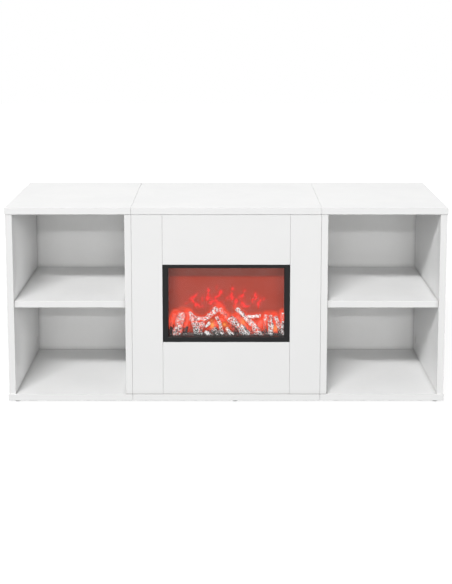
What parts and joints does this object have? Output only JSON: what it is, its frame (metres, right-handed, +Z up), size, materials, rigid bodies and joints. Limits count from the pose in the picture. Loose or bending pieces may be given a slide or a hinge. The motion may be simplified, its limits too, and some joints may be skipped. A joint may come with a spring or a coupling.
{
  "type": "fireplace tv stand",
  "caption": "Low white television cabinet of joined units, with open shelves beside a middle front that frames a black-bezelled flame-effect fire insert",
  "frame": {"origin": "on the floor under the middle of the cabinet, at the bottom of the glides", "axes": "+X to the viewer's right along the cabinet, +Y from the front to the back, +Z up"},
  "size_m": [1, 0.35, 0.455],
  "materials": {
    "white_board": "satin white melamine on particle board",
    "white_hardboard": "thin white-faced hardboard",
    "batten_wood": "planed softwood",
    "dowel_wood": "fluted beech",
    "zinc": "bright zinc plating",
    "cover_plastic": "grey moulded cap",
    "foot_plastic": "dark moulded glide",
    "bezel_plastic": "black moulded plastic, fine matt grain",
    "fire_glass": "clear pane",
    "black_sheet": "black powder coat",
    "bracket_steel": "galvanised sheet",
    "flame_screen": "translucent red diffuser with lit flames",
    "ember_resin": "translucent resin, painted charcoal",
    "log_resin": "cast resin painted as ash-covered logs",
    "circuit_board": "green solder mask",
    "lamp_lens": "clear lamp with yellow phosphor",
    "white_nylon": "natural nylon",
    "rod_steel": "ground steel",
    "vane_mirror": "polished aluminium foil",
    "coupling_rubber": "black rubber",
    "bush_brass": "turned brass",
    "motor_can": "plated steel can",
    "jack_plastic": "black moulded plastic",
    "rocker_plastic": "glossy black plastic"
  },
  "bodies": {
    "cabinet": {"left_top_board": "white_board", "left_bottom_board": "white_board", "left_outer_side": "white_board", "left_inner_side": "white_board", "left_shelf": "white_board", "right_top_board": "white_board", "right_bottom_board": "white_board", "right_outer_side": "white_board", "right_inner_side": "white_board", "right_shelf": "white_board", "centre_top_board": "white_board", "centre_bottom_board": "white_board", "centre_left_side": "white_board", "centre_right_side": "white_board", "left_front_stile": "white_board", "right_front_stile": "white_board", "upper_front_panel": "white_board", "lower_front_panel": "white_board", "left_back_panel": "white_hardboard", "right_back_panel": "white_hardboard", "centre_back_panel": "white_hardboard", "front_battens": "batten_wood", "dowels": "dowel_wood", "cam_locks": "zinc", "cam_bolts": "zinc", "unit_ties": "zinc", "wood_screws": "zinc", "shelf_pins": "zinc", "cam_covers": "cover_plastic", "feet": "foot_plastic", "fire_bezel": "bezel_plastic", "fire_glass": "fire_glass", "fire_housing": "black_sheet", "fire_rear_cover": "black_sheet", "screen_rails": "black_sheet", "insert_brackets": "bracket_steel", "insert_screws": "bracket_steel", "flame_screen": "flame_screen", "ember_bed": "ember_resin", "front_logs": "log_resin", "rear_logs": "log_resin", "ember_light_board": "circuit_board", "flame_light_board": "circuit_board", "driver_board": "circuit_board", "lamps": "lamp_lens", "standoffs": "white_nylon", "rod_bracket": "bracket_steel", "motor_bracket": "bracket_steel", "rod_bush": "bush_brass", "flicker_motor": "motor_can", "power_jack": "jack_plastic", "jack_nut": "zinc", "switch_case": "jack_plastic"},
    "flicker": {"flicker_rod": "rod_steel", "motor_shaft": "rod_steel", "flicker_vanes": "vane_mirror", "rod_coupling": "coupling_rubber"},
    "rocker": {"switch_rocker": "rocker_plastic"}
  },
  "joints": [
    {"name": "flicker_spin", "type": "hinge", "parent": "cabinet", "child": "flicker", "pos_m": [0, -0.106, 0.175], "axis": [1, 0, 0], "continuous": true},
    {"name": "rocker_tilt", "type": "hinge", "parent": "cabinet", "child": "rocker", "pos_m": [0.045, -0.0575, 0.2635], "axis": [1, 0, 0], "range_deg": [0, 16]}
  ]
}
